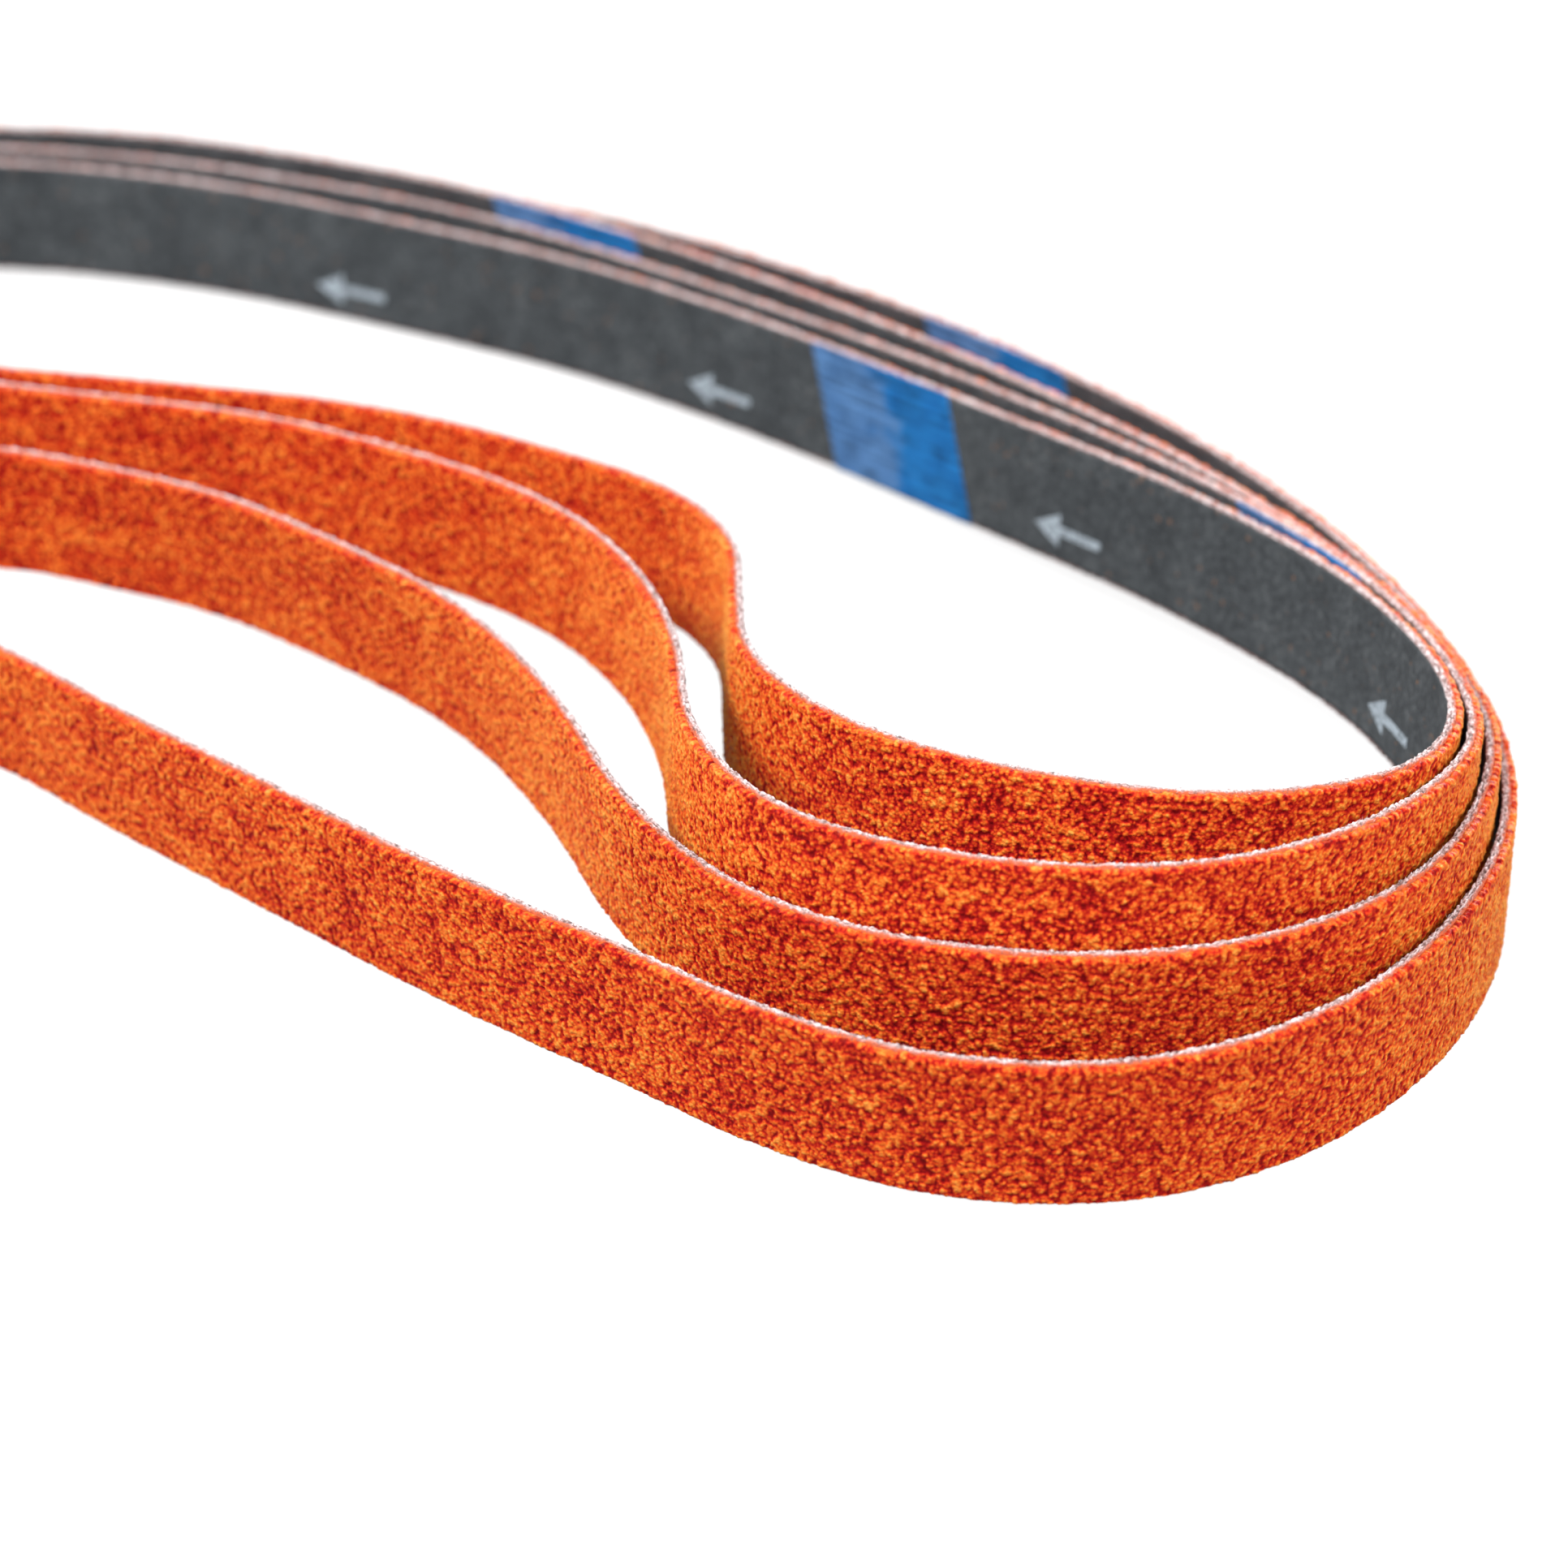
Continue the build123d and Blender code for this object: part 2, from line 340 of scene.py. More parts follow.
def grains(rng, s, h, cell, whole):
    """Upper skin of crowded, randomly turned domes: 0 in the pits, 1 on the tips."""
    columns = round(whole / cell)
    rows = int(BELT_WIDTH / cell) + SPARE_CELLS
    shape = (columns, rows)
    at_s = rng.uniform(0.05, 0.95, shape)
    at_h = rng.uniform(0.05, 0.95, shape)
    size = rng.uniform(0.55, 0.98, shape)
    long = rng.uniform(1.0, 1.5, shape)
    turn = rng.uniform(0, math.pi, shape)
    top = rng.uniform(0.45, 1.0, shape)
    u = s / whole * columns
    v = h / cell + CELLS_BELOW
    i = np.floor(u).astype(int)
    j = np.floor(v).astype(int)
    skin = np.zeros(np.broadcast(s, h).shape)
    for di in (-1, 0, 1):
        for dj in (-1, 0, 1):
            p = (i + di) % columns
            q = np.clip(j + dj, 0, rows - 1)
            du = u - (i + di) - at_s[p, q]
            dv = v - (j + dj) - at_h[p, q]
            c = np.cos(turn[p, q])
            d = np.sin(turn[p, q])
            a = (du * c + dv * d) / (size[p, q] * long[p, q])
            b = (dv * c - du * d) * long[p, q] / size[p, q]
            dome = top[p, q] * np.clip(1 - np.sqrt(a * a + b * b), 0, 1) ** 0.62
            skin = np.maximum(skin, dome)
    return skin


# ---- meshes --------------------------------------------------------------------
def mesh_from(name, points, faces, loops, marks):
    """A smooth-shaded object from flat arrays; faces holds each face's corner count."""
    mesh = bpy.data.meshes.new(name)
    mesh.vertices.add(len(points))
    mesh.vertices.foreach_set("co", points.astype(np.float32).ravel())
    mesh.loops.add(len(loops))
    mesh.loops.foreach_set("vertex_index", loops.astype(np.int32))
    mesh.polygons.add(len(faces))
    starts = np.concatenate([[0], np.cumsum(faces)[:-1]])
    mesh.polygons.foreach_set("loop_start", starts.astype(np.int32))
    mesh.update(calc_edges=True)
    mesh.polygons.foreach_set("use_smooth", np.ones(len(faces), bool))
    for mark, values in marks.items():
        layer = mesh.attributes.new(mark, "FLOAT", "POINT")
        layer.data.foreach_set("value", np.asarray(values, np.float32).ravel())
    piece = bpy.data.objects.new(name, mesh)
    bpy.context.scene.collection.objects.link(piece)
    return piece


def skin(belt, name, s, n, h, **marks):
    """A closed solid through cross-sections.  All arrays are (sections, points), and
    a section's points go once round it, so that s, n and h turn right-handed."""
    sections, around = s.shape
    points = belt.place(s, n, h).reshape(-1, 3)
    i = np.arange(sections - 1)[:, None] * around
    j = np.arange(around)[None, :]
    k = (j + 1) % around
    quads = np.stack([i + j, i + k, i + around + k, i + around + j], -1).reshape(-1)
    first_cap = np.arange(around)[::-1]
    last_cap = (sections - 1) * around + np.arange(around)
    loops = np.concatenate([quads, first_cap, last_cap])
    faces = np.concatenate([np.full((sections - 1) * around, 4), [around, around]])
    marks["along"] = s
    marks["up"] = h
    return mesh_from(name, points, faces, loops, marks)


def leaning(u, h):
    """Move a section's points along the belt, so that it lies as the splice does."""
    return u + LEAN * (h - BELT_WIDTH / 2)


def swept(belt, u, h):
    """Sections of a strip: leaning where it ends on the butt joint, square elsewhere."""
    start, end = strip_ends(belt)
    square = smooth(np.minimum(u - start, end - u) / LEAN_FADES)
    return u + (leaning(u, h) - u) * (1 - square)


def strip_ends(belt):
    """Where the strip leaves the butt joint and where it comes back to it."""
    start = belt.splice + BUTT_GAP / 2
    return start, start + belt.whole - BUTT_GAP


def sections_between(lo, hi, step):
    """A column of evenly spaced places along the belt."""
    return np.linspace(lo, hi, max(2, round((hi - lo) / step) + 1))[:, None]


# ---- the layers of one belt ----------------------------------------------------
def grain_coat(belt, material):
    """Grain under its size coat: crowded domes with pits, thinning to a broken edge."""
    start, end = strip_ends(belt)
    cuts = np.linspace(start, end, GRAIN_PIECES + 1)
    rows = round(BELT_WIDTH / STEP)
    t = np.linspace(0, 1, rows)[None, :]
    climb = np.array([0.0, 0.4, 0.75])[None, :]
    for part in range(GRAIN_PIECES):
        u = sections_between(cuts[part], cuts[part + 1], STEP)
        rng = dice(belt, GRAIN_DICE)    # afresh, so that the lengths match where they meet
        # slow chips and small bites along both edges of the coat
        chip_lo = 0.10 + 0.05 * noise(rng, u, 0 * u, 0.9, belt.whole)
        chip_hi = 0.13 + 0.12 * noise(rng, u, 0 * u, 0.9, belt.whole)
        h_lo = chip_lo + 0.03 * noise(rng, u, 0 * u, 0.2, belt.whole)
        h_hi = BELT_WIDTH - chip_hi + 0.09 * noise(rng, u, 0 * u, 0.3, belt.whole)
        h = h_lo + (h_hi - h_lo) * t
        s = swept(belt, u, h)
        # large grains with small ones between them, on a faintly uneven cloth
        coarse = grains(rng, s, h, GRAIN_SIZE, belt.whole)
        fine = grains(rng, s, h, FINE_SHARE * GRAIN_SIZE, belt.whole)
        patches = noise(rng, s, h, 2.6, belt.whole)
        streaks = noise(rng, 0.4 * s, h, 1.1, 0.4 * belt.whole)
        relief = 0.74 * coarse + 0.34 * fine + 0.05 * patches + 0.05 * streaks
        relief = np.clip(relief + 0.02, 0, 1)
        edge = np.minimum(h - h_lo, h_hi - h)
        round_off = smooth(edge / EDGE_ROUND + 0.35)
        top = N_OUT + TIPS_PROUD - GRAIN_DEPTH * (1 - relief)
        n = N_MAKE + (top - N_MAKE) * (0.45 + 0.55 * round_off)
        cut = 1 - smooth(edge / CUT_BAND)

        # the broken walls from the cloth up to the grain, at both edges
        down = climb[:, ::-1]
        low_n = N_MAKE + (n[:, :1] - N_MAKE) * climb
        high_n = N_MAKE + (n[:, -1:] - N_MAKE) * down
        low_h = h_lo + 0.05 * noise(rng, u + 0 * climb, 9 * low_n, 0.3, belt.whole) * climb
        high_h = h_hi + 0.06 * noise(rng, u + 0 * climb, 9 * high_n, 0.3, belt.whole) * down
        n = np.concatenate([low_n - 0.02, n, high_n - 0.02], 1)
        h = np.concatenate([low_h, h, high_h], 1)
        one = np.ones_like(low_n)
        piece = skin(
            belt, f"{belt.body}_grain_{part + 1}",
            swept(belt, u, h), n, h,
            # rise carries the relief; the grain's material paints shade into the low places and
            # a highlight onto the tips from it
            rise=np.concatenate([relief[:, :1] * one, relief, relief[:, -1:] * one], 1),
            cut=np.concatenate([one, cut, one], 1),
        )
        finish_piece(piece, belt, material, "coated_grain", "make_coat", "abrasive_coat")


def cloth(belt, material):
    """Woven backing: seen at its two cut edges, which are lumpy, pitted and swollen."""
    u = sections_between(*strip_ends(belt), STEP)
    rng = dice(belt, CLOTH_DICE)
    t = np.linspace(0, 1, 9)[None, :]
    from_back = smooth((t - 0.5) / 0.5)
    swell = FRINGE * (0.7 + 0.5 * noise(rng, u, 0 * u, 0.45, belt.whole)) * from_back
    n_top = N_MAKE + (N_CLOTH - N_MAKE) * t - swell
    n_low = n_top[:, ::-1]
    lumps = noise(rng, u + 0 * t, 12 * (n_top + 1), 0.60, belt.whole)
    shreds = noise(rng, u + 0 * t, 12 * (n_top + 1), 0.26, belt.whole)
    top = BELT_WIDTH + 0.02 + 0.10 * lumps + 0.14 * shreds
    lumps_low = noise(rng, u + 0 * t, 12 * (n_low + 1), 0.55, belt.whole)
    low = 0.07 + 0.06 * lumps_low
    rounding = 0.14 * (2 * t - 1) ** 4
    under_top = np.full_like(u, BELT_WIDTH - CLOTH_HEMS[1])
    over_low = np.full_like(u, CLOTH_HEMS[0])
    under_n = np.full_like(u, N_CLOTH + 0.02)
    h = np.concatenate([top - rounding, under_top, over_low, low + rounding], 1)
    n = np.concatenate([n_top, under_n, under_n, n_low], 1)
    pit = np.full_like(u, 0.3)
    # painted shade: the cut edge's colour mark follows its lumps and shreds, low places dark,
    # high ones pale
    lump_shade_top = 0.5 + 0.3 * lumps + 0.4 * shreds
    lump_shade_low = 0.4 + 0.4 * lumps_low
    lump_shade = np.concatenate([lump_shade_top, pit, pit, lump_shade_low], 1)
    inner = np.full_like(u, 1.0)
    across = np.concatenate([t + 0 * u, inner, inner, t[:, ::-1] + 0 * u], 1)
    piece = skin(belt, f"{belt.body}_cloth", swept(belt, u, h), n, h, rise=lump_shade, across=across)
    finish_piece(piece, belt, material, "woven_cloth", "backing")


def dark_back(belt, material):
    """Dark filler on the running face: the cloth's threads show faintly through it."""
    u = sections_between(*strip_ends(belt), 3 * STEP)
    rng = dice(belt, BACK_DICE)
    rows = round(BELT_WIDTH / (3 * STEP))
    t = np.linspace(1, 0, rows)[None, :]
    h_lo = 0.34 + 0.08 * noise(rng, u, 0 * u, 0.8, belt.whole)
    h_hi = BELT_WIDTH - 0.24 - 0.08 * noise(rng, u, 0 * u, 0.6, belt.whole)
    h = h_lo + (h_hi - h_lo) * t
    s = swept(belt, u, h)
    worn = 0.5 + 0.5 * noise(rng, s, h, 1.5, belt.whole)
    n = N_BACK + 0.012 * worn
    h = np.concatenate([h_hi, h, h_lo], 1)
    n = np.concatenate([N_CLOTH + 0.01 + 0 * u, n, N_CLOTH + 0.01 + 0 * u], 1)
    worn = np.concatenate([0.5 + 0 * u, worn, 0.5 + 0 * u], 1)
    piece = skin(belt, f"{belt.body}_dark_back", swept(belt, u, h), n, h, rise=worn)
    finish_piece(piece, belt, material, "dark_filler", "back_coat")


def tape(belt, material):
    """Splice tape: film over threads that run along the belt, with ends that lean
    as the butt joint under it does.  The film sinks a little into the joint."""
    u = sections_between(-TAPE_LENGTH / 2, TAPE_LENGTH / 2, TAPE_STEP)
    rng = dice(belt, TAPE_DICE)
    t = np.linspace(1, 0, TAPE_ROWS)[None, :]
    ragged = 0.04 * noise(rng, u + belt.splice, 0 * u, 0.8, belt.whole)
    h = TAPE_INSET + ragged + (BELT_WIDTH - 2 * TAPE_INSET) * t
    place = belt.splice + u
    wander = noise(rng, 0.2 * place + 0 * h, h, 1.6, belt.whole)
    threads = (0.5 + 0.5 * np.cos(2 * math.pi * h / TAPE_THREADS + 1.2 * wander)) ** 0.7
    threads = threads * (0.6 + 0.4 * noise(rng, 0.3 * place + 0 * h, h, 0.7, belt.whole))
    joint = np.exp(-((u / TAPE_SAG) ** 2))
    n = N_TAPE + 0.03 * (1 - threads) + 0.05 * joint
    rim = np.minimum(t, 1 - t) * BELT_WIDTH
    n = n + 0.05 * (1 - smooth(rim / TAPE_RIM))
    h = np.concatenate([h[:, :1], h, h[:, -1:]], 1)
    back = np.full_like(u, N_BACK + 0.01)
    n = np.concatenate([back, n, back], 1)
    threads = np.concatenate([threads[:, :1], threads, threads[:, -1:]], 1)
    s = leaning(place, h)
    name = f"{belt.body}_splice_tape_film"
    piece = skin(belt, name, s, n, h, rise=threads, from_joint=u + 0 * h)
    finish_piece(piece, belt, material, "blue_tape", "splice_tape", "splice_glue")


def frayed_threads(belt, material):
    """Short tapering fibres that stand out of the cloth's cut edges."""
    rng = dice(belt, THREAD_DICE)
    count = FRAYED
    sides = 3
    knots = 4
    start, end = strip_ends(belt)
    root_s = rng.uniform(start + 1, end - 1, count)
    upper = rng.uniform(0, 1, count) < FRAYED_UPWARDS
    root_n = rng.uniform(N_CLOTH + 0.03, N_MAKE, count)
    root_h = np.where(upper, BELT_WIDTH - 0.06, 0.12)
    length = 0.16 + 0.42 * rng.uniform(0, 1, count) ** 2.5
    swing = rng.uniform(0, 2 * math.pi, count)
    lift = np.where(upper, rng.uniform(0.15, 0.95, count), rng.uniform(-0.05, 0.15, count))
    flat = np.sqrt(np.clip(1 - lift**2, 0, 1))
    aim = np.stack([flat * np.cos(swing), 0.55 * flat * np.sin(swing), lift], 1)
    curl = rng.normal(0, 0.35, (count, 3)) * [1, 0.4, 0.4]
    radius = rng.uniform(0.014, 0.030, count)
    along = np.linspace(0, 1, knots)
    reach = length[:, None, None]
    line = along[None, :, None] * aim[:, None, :] * reach
    line = line + along[None, :, None] ** 2 * curl[:, None, :] * reach
    ring = 2 * math.pi * np.arange(sides) / sides
    thick = radius[:, None] * np.array([1.0, 0.9, 0.7, 0.2])[None, :]
    side = np.stack([-np.sin(swing), np.cos(swing)], 1)
    s = root_s[:, None, None] + line[:, :, None, 0]
    s = s + thick[:, :, None] * np.cos(ring) * side[:, 0, None, None]
    n = root_n[:, None, None] + line[:, :, None, 1]
    n = n + thick[:, :, None] * np.cos(ring) * side[:, 1, None, None]
    h = root_h[:, None, None] + line[:, :, None, 2] + thick[:, :, None] * np.sin(ring)
    h = np.maximum(h, 0.005)    # none goes under the lower edge
    s = swept(belt, s, h)
    points = belt.place(s, n, h).reshape(-1, 3)
    block = knots * sides
    base = np.arange(count)[:, None, None] * block
    i = np.arange(knots - 1)[None, :, None] * sides
    j = np.arange(sides)[None, None, :]
    k = (j + 1) % sides
    near = base + i
    far = near + sides
    quads = np.stack([near + j, near + k, far + k, far + j], -1)
    root = base[:, 0] + np.arange(sides)[::-1]
    tip = base[:, 0] + block - sides + np.arange(sides)
    loops = np.concatenate([quads.reshape(-1), root.reshape(-1), tip.reshape(-1)])
    faces = np.concatenate([np.full(quads.size // 4, 4), np.full(2 * count, sides)])
    marks = {"rise": np.repeat(rng.uniform(0.4, 1.0, count), block)}
    piece = mesh_from(f"{belt.body}_frayed_threads", points, faces, loops, marks)
    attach(piece, belt.body)
    piece.data.materials.append(material)


def finish_piece(piece, belt, material, slot, *layers):
    """Put a layer on its body, in place of the CAD nodes that it stands for."""
    piece.data.materials.append(material)
    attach(piece, belt.body)
    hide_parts(*[f"{belt.body}_{layer}" for layer in layers])


# ---- materials -----------------------------------------------------------------
def node(tree, kind, inputs=None, **settings):
    """A node with its settings made and its inputs set or linked."""
    made = tree.nodes.new(kind)
    for key, value in settings.items():
        setattr(made, key, value)
    for key, value in (inputs or {}).items():
        if isinstance(value, bpy.types.NodeSocket):
            tree.links.new(value, made.inputs[key])
        else:
            made.inputs[key].default_value = value
    return made


def mark(tree, name):
    """A value that the mesh keeps at its vertices."""
    return node(tree, "ShaderNodeAttribute", attribute_name=name).outputs["Fac"]


def math_node(tree, operation, a, b=0.0):
    return node(tree, "ShaderNodeMath", {0: a, 1: b}, operation=operation).outputs[0]


def add(tree, a, b):
    return math_node(tree, "ADD", a, b)


def times(tree, a, b):
    return math_node(tree, "MULTIPLY", a, b)


def mix(tree, factor, a, b):
    """Blend of two colours."""
    colours = {0: factor, 6: a, 7: b}
    return node(tree, "ShaderNodeMix", colours, data_type="RGBA").outputs[2]


def ramp(tree, factor, stops):
    """Colour from a list of (place, colour) stops."""
    made = node(tree, "ShaderNodeValToRGB", {0: factor})
    line = made.color_ramp.elements
    while len(line) < len(stops):
        line.new(0.5)
    for element, (place, colour) in zip(line, stops):
        element.position = place
        element.color = colour
    return made.outputs[0]


def speckle(tree, size_mm, detail=2.0, rough=0.5):
    """Cloudy noise, from 0 to 1, with blobs of about the given size."""
    where = node(tree, "ShaderNodeTexCoord").outputs["Object"]
    scale = 1 / (size_mm * MM)
    inputs = {"Vector": where, "Scale": scale, "Detail": detail, "Roughness": rough}
    return node(tree, "ShaderNodeTexNoise", inputs).outputs["Fac"]


def cells(tree, size_mm):
    """Distance from the middles of crowded cells of about the given size."""
    where = node(tree, "ShaderNodeTexCoord").outputs["Object"]
    inputs = {"Vector": where, "Scale": 1 / (size_mm * MM)}
    return node(tree, "ShaderNodeTexVoronoi", inputs).outputs["Distance"]


def spread(tree, value, low, high, to_low=0.0, to_high=1.0):
    """Map low to high onto to_low to to_high, and hold it there beyond them."""
    inputs = {
        "Value": value,
        "From Min": low,
        "From Max": high,
        "To Min": to_low,
        "To Max": to_high,
    }
    return node(tree, "ShaderNodeMapRange", inputs, clamp=True).outputs[0]


def vary(tree, cloud, low, high):
    """Stretch cloudy noise, which mostly keeps to 0.3 to 0.7, over low to high."""
    return spread(tree, cloud, 0.3, 0.7, low, high)


def colour(red, green, blue):
    """Linear colour from ordinary 0 to 255 values."""
    def linear(value):
        value /= 255
        return value / 12.92 if value < 0.04045 else ((value + 0.055) / 1.055) ** 2.4
    return (linear(red), linear(green), linear(blue), 1.0)


def new_material(name):
    material = bpy.data.materials.new(name)
    material.use_nodes = True
    tree = material.node_tree
    tree.nodes.clear()
    return material, tree


def surface(tree, base, roughness, height=None, bump_mm=0.0, **inputs):
    """Principled surface, with a bump whose height input spans bump_mm."""
    values = {"Base Color": base, "Roughness": roughness}
    values.update({key.replace("_", " "): value for key, value in inputs.items()})
    if height is not None:
        bump_in = {"Height": height, "Distance": bump_mm * MM, "Strength": 1.0}
        values["Normal"] = node(tree, "ShaderNodeBump", bump_in).outputs[0]
    shader = node(tree, "ShaderNodeBsdfPrincipled", values)
    out = node(tree, "ShaderNodeOutputMaterial")
    tree.links.new(shader.outputs[0], out.inputs[0])


def grain_material():
    """Orange size coat over grain: its own orange in the middle of the ramp, painted shade in
    dark red down in the pits and a painted highlight, paler, on the tips.
    """
    material, tree = new_material("orange_grain")
    rise = mark(tree, "rise")
    crystals = cells(tree, 0.34)
    mottle = speckle(tree, 0.45, 3.0, 0.6)
    clouds = speckle(tree, 6.0, 2.0)
    level = add(tree, rise, vary(tree, mottle, -0.07, 0.07))
    level = add(tree, level, vary(tree, clouds, -0.05, 0.05))
    # painted shade: darker towards the borders of the crystal cells, where the crevices between
    # crystals lie
    level = add(tree, level, spread(tree, crystals, 0.15, 0.75, 0.10, -0.22))
    # painted light: paler at grazing views, where the shaded pits would be hidden behind the
    # tips
    grazing = node(tree, "ShaderNodeLayerWeight", {"Blend": 0.5}).outputs["Facing"]
    level = add(tree, level, spread(tree, grazing, 0.25, 0.90, 0.0, 0.32))
    # the ramp runs from painted pit shade (dark reds) through the grain's own orange to a
    # painted peach highlight on the tips
    stops = [
        (0.06, colour(124, 12, 18)),
        (0.27, colour(178, 26, 24)),
        (0.44, colour(218, 70, 30)),
        (0.62, colour(240, 116, 42)),
        (0.94, colour(255, 166, 74)),
    ]
    base = ramp(tree, level, stops)
    cut = spread(tree, times(tree, mark(tree, "cut"), mottle), 0.42, 0.70)
    base = mix(tree, cut, base, colour(180, 74, 38))
    fine = speckle(tree, 0.12, 3.0, 0.65)
    facets = math_node(tree, "SUBTRACT", times(tree, fine, 0.35), crystals)
    gloss = vary(tree, mottle, 0.28, 0.46)
    shine = {"Specular_IOR_Level": 0.14, "Specular_Tint": colour(255, 170, 100)}
    surface(tree, base, gloss, facets, 0.11, **shine)
    return material


def cloth_material():
    """Cut cotton-polyester: lilac white by the back, orange-brown by the grain, with painted
    shade in the hollows of the cut.
    """
    material, tree = new_material("cut_cloth")
    lump_shade = mark(tree, "rise")
    lint = speckle(tree, 0.30, 4.0, 0.7)
    # the cut edge's colour: random tone from the lint noise, and painted shade, darker in its
    # hollows and paler on its lumps by the lump heights carried in rise
    level = add(tree, lump_shade, vary(tree, lint, -0.38, 0.38))
    stops = [
        (0.12, colour(90, 68, 64)),
        (0.36, colour(150, 120, 116)),
        (0.60, colour(202, 180, 180)),
        (0.90, colour(242, 234, 234)),
    ]
    base = ramp(tree, level, stops)
    patches = spread(tree, speckle(tree, 0.8, 3.0), 0.35, 0.65, -0.14, 0.14)
    towards_grain = math_node(tree, "SUBTRACT", 1.0, mark(tree, "across"))
    resin = spread(tree, add(tree, towards_grain, patches), 0.52, 0.92)
    base = mix(tree, resin, base, colour(200, 92, 52))
    # painted shade: small dark specks, the shade of tiny pits in the cut edge
    specks = spread(tree, speckle(tree, 0.22, 2.0), 0.56, 0.66, 0.0, 0.75)
    base = mix(tree, specks, base, colour(132, 92, 84))
    surface(tree, base, 0.9, lint, 0.10, Sheen_Weight=0.1)
    return material


def thread_material():
    """Loose fibres from the cut edge."""
    material, tree = new_material("loose_threads")
    base = ramp(tree, mark(tree, "rise"), [
        (0.4, colour(200, 170, 164)),
        (1.0, colour(240, 228, 226)),
    ])
    tint = speckle(tree, 1.5)
    base = mix(tree, spread(tree, tint, 0.5, 0.8, 0.0, 0.4), base, colour(240, 170, 140))
    surface(tree, base, 0.85, Sheen_Weight=0.2)
    return material


def back_material():
    """Slate-grey filled cloth: fine mottling, faint threads, a few brown specks."""
    material, tree = new_material("dark_filled_cloth")
    along = math_node(tree, "SINE", times(tree, mark(tree, "along"), 2 * math.pi / WARP_PITCH))
    up = math_node(tree, "SINE", times(tree, mark(tree, "up"), 2 * math.pi / WEFT_PITCH))
    weave = times(tree, along, up)
    mottle = speckle(tree, 0.7, 4.0, 0.6)
    clouds = speckle(tree, 5.0, 3.0)
    level = vary(tree, mottle, 0.0, 0.62)
    level = add(tree, level, vary(tree, clouds, 0.0, 0.30))
    level = add(tree, level, times(tree, along, 0.05))
    base = ramp(tree, level, [
        (0.15, colour(44, 47, 50)),
        (0.55, colour(66, 70, 73)),
        (0.95, colour(94, 97, 99)),
    ])
    specks = spread(tree, speckle(tree, 0.9, 1.0), 0.70, 0.76)
    base = mix(tree, specks, base, colour(112, 84, 66))
    height = add(tree, times(tree, weave, 0.25), mottle)
    gloss = vary(tree, mottle, 0.46, 0.62)
    surface(tree, base, gloss, height, 0.04, Specular_IOR_Level=0.4)
    return material


def tape_material():
    """Blue film over threads: paler and more violet on one side of the joint."""
    material, tree = new_material("blue_splice_tape")
    threads = mark(tree, "rise")
    across = mark(tree, "from_joint")
    clouds = speckle(tree, 3.0, 2.0)
    fine = speckle(tree, 0.6, 3.0)
    wavy = add(tree, across, vary(tree, clouds, -2.5, 2.5))
    side = spread(tree, wavy, -1.0, 1.4)
    deep = mix(tree, clouds, colour(12, 92, 164), colour(40, 134, 204))
    pale = mix(tree, clouds, colour(62, 108, 164), colour(100, 144, 196))
    base = mix(tree, side, deep, pale)
    lines = add(tree, threads, vary(tree, fine, -0.12, 0.12))
    lines = spread(tree, lines, 0.0, 0.55, 0.36, 1.0)
    layers = {0: 1.0, 6: base, 7: lines}
    dim = node(tree, "ShaderNodeMix", layers, data_type="RGBA", blend_type="MULTIPLY")
    surface(tree, dim.outputs[2], 0.46, fine, 0.02, Specular_IOR_Level=0.25)
    return material


def ink_material():
    """White ink of the run arrows, thin and worn through to the filler in places."""
    material, tree = new_material("worn_white_ink")
    wear = speckle(tree, 0.5, 4.0, 0.7)
    cover = spread(tree, wear, 0.38, 0.58, 0.25, 1.0)
    base = mix(tree, cover, colour(74, 80, 84), colour(176, 188, 198))
    surface(tree, base, 0.6, wear, 0.02)
    return material


def floor_material():
    """Seamless paper: white to the camera, though it throws little light back up."""
    material, tree = new_material("studio_paper")
    fibre = speckle(tree, 3.0, 4.0)
    base = mix(tree, fibre, colour(106, 106, 106), colour(112, 112, 112))
    seen = node(tree, "ShaderNodeLightPath").outputs["Is Camera Ray"]
    glow = spread(tree, seen, 0.0, 1.0, 0.06, 0.94)
    surface(tree, base, 0.9, Emission_Color=(1, 1, 1, 1), Emission_Strength=glow)
    return material


# ---- studio --------------------------------------------------------------------
def floor():
    """A pale sheet under the belts, far larger than the nest."""
    half = 3.0
    mesh = bpy.data.meshes.new("studio_floor")
    corners = [(-half, -half, 0), (half, -half, 0), (half, half, 0), (-half, half, 0)]
    mesh.from_pydata(corners, [], [(0, 1, 2, 3)])
    sheet = bpy.data.objects.new("studio_floor", mesh)
    bpy.context.scene.collection.objects.link(sheet)
    mesh.materials.append(floor_material())


def soft_box(name, place, aim, size, watts):
    """A round area light; lengths in metres."""
    data = bpy.data.lights.new(name, "AREA")
    data.shape = "DISK"
    data.size = size
    data.energy = watts
    lamp = bpy.data.objects.new(name, data)
    lamp.location = place
    lamp.rotation_mode = "QUATERNION"
    lamp.rotation_quaternion = (Vector(aim) - Vector(place)).to_track_quat("-Z", "Y")
    bpy.context.scene.collection.objects.link(lamp)


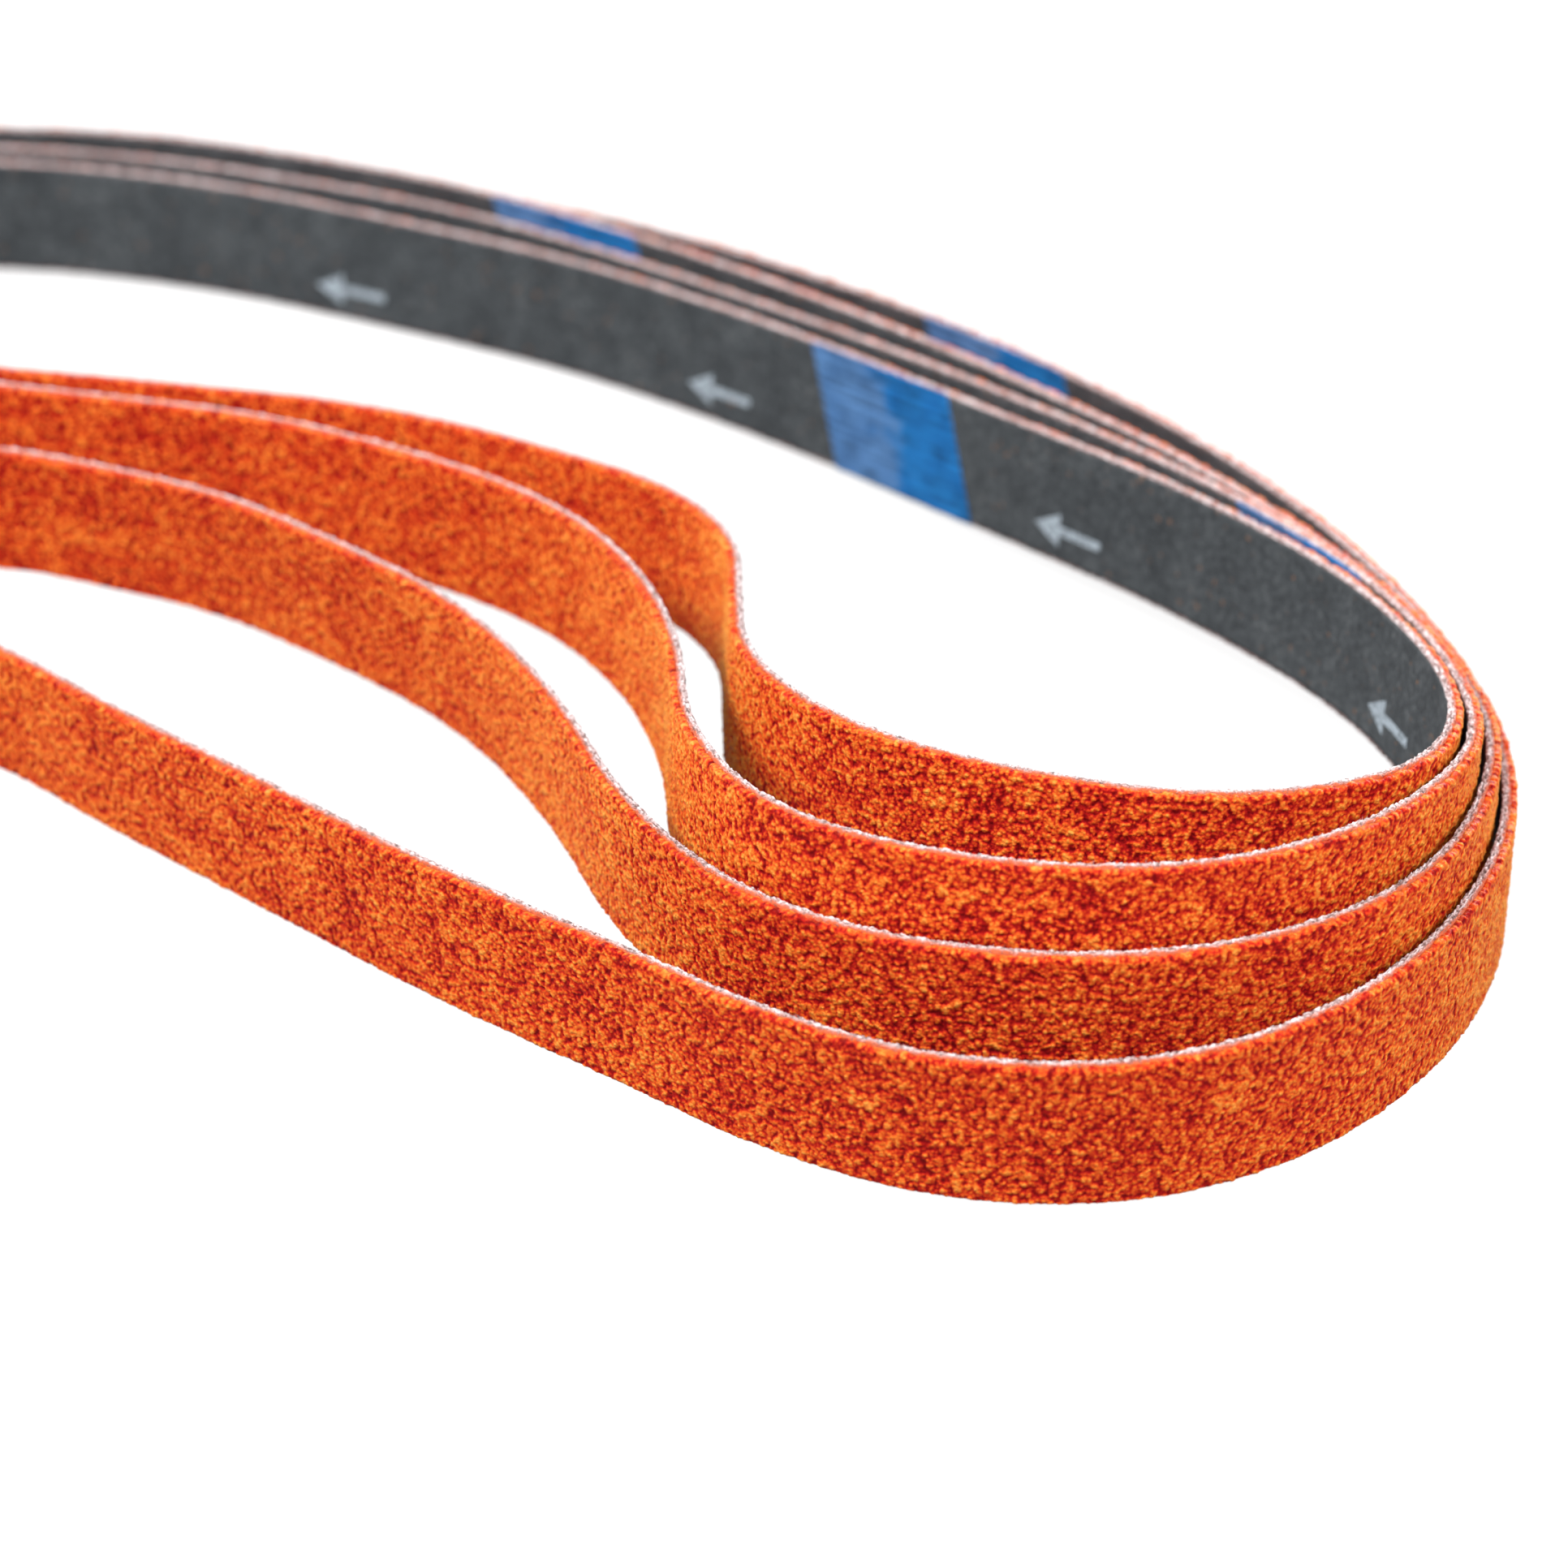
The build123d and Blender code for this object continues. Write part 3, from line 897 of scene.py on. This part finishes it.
def lights():
    """High boxes from the left and the front, one by the right end, low ones behind."""
    soft_box("key", (-0.52, -0.48, 0.84), (0.03, -0.01, 0.0), 0.40, 12.2)
    soft_box("front_box", (0.18, -0.66, 0.80), (0.03, -0.01, 0.0), 0.40, 5.4)
    soft_box("right_box", (0.50, -0.10, 0.38), (0.09, -0.02, 0.0), 0.22, 2.4)
    soft_box("back_box", (0.10, 0.78, 0.24), (0.0, 0.03, 0.0), 0.50, 5.5)
    soft_box("left_box", (-0.70, 0.22, 0.22), (-0.08, 0.0, 0.0), 0.30, 1.6)
    world = bpy.data.worlds.new("studio")
    bpy.context.scene.world = world
    world.use_nodes = True
    tree = world.node_tree
    tree.nodes.clear()
    seen = node(tree, "ShaderNodeLightPath").outputs["Is Camera Ray"]
    strength = spread(tree, seen, 0.0, 1.0, 0.20, 1.0)
    sky = node(tree, "ShaderNodeBackground", {"Color": (1, 1, 1, 1), "Strength": strength})
    out = node(tree, "ShaderNodeOutputWorld")
    tree.links.new(sky.outputs[0], out.inputs[0])


def camera():
    """Close view of the right end from the front right, near parts in focus."""
    target = Vector((51.96, -23.5, 8.9)) * MM
    distance = 357.7 * MM
    azimuth = math.radians(25.9)
    elevation = math.radians(29.6)
    back = Vector((
        math.sin(azimuth) * math.cos(elevation),
        -math.cos(azimuth) * math.cos(elevation),
        math.sin(elevation),
    ))
    data = bpy.data.cameras.new("camera")
    data.lens = 93.3
    data.sensor_width = 36.0
    data.clip_start = 0.01
    eye = bpy.data.objects.new("camera", data)
    eye.location = target + back * distance
    eye.rotation_mode = "QUATERNION"
    pitch_down = Quaternion((1, 0, 0), math.radians(-0.63))
    eye.rotation_quaternion = (-back).to_track_quat("-Z", "Y") @ pitch_down
    bpy.context.scene.collection.objects.link(eye)
    sharp = bpy.data.objects.new("sharp_point", None)
    sharp.location = Vector((64.6, -48.8, 25.0)) * MM
    bpy.context.scene.collection.objects.link(sharp)
    data.dof.use_dof = True
    data.dof.focus_object = sharp
    data.dof.aperture_fstop = 22.0
    bpy.context.scene.camera = eye
    bpy.context.scene.view_settings.view_transform = "Standard"


# ---- build ---------------------------------------------------------------------
belts = [Belt(number) for number in BELTS]
turn = np.linspace(0, belts[-1].whole, 20001)
outline = belts[-1].in_plane(turn, np.full_like(turn, N_OUT))
Belt.middle = tuple((axis.min() + axis.max()) / 2 for axis in outline)

looks = {
    grain_coat: grain_material(),
    cloth: cloth_material(),
    dark_back: back_material(),
    tape: tape_material(),
    frayed_threads: thread_material(),
}
ink = ink_material()
for belt in belts:
    check_against_frame(belt)
    for layer, material in looks.items():
        layer(belt, material)
    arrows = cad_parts[f"{belt.body}_run_arrows"]
    arrows.data.materials.clear()
    arrows.data.materials.append(ink)

floor()
lights()
camera()
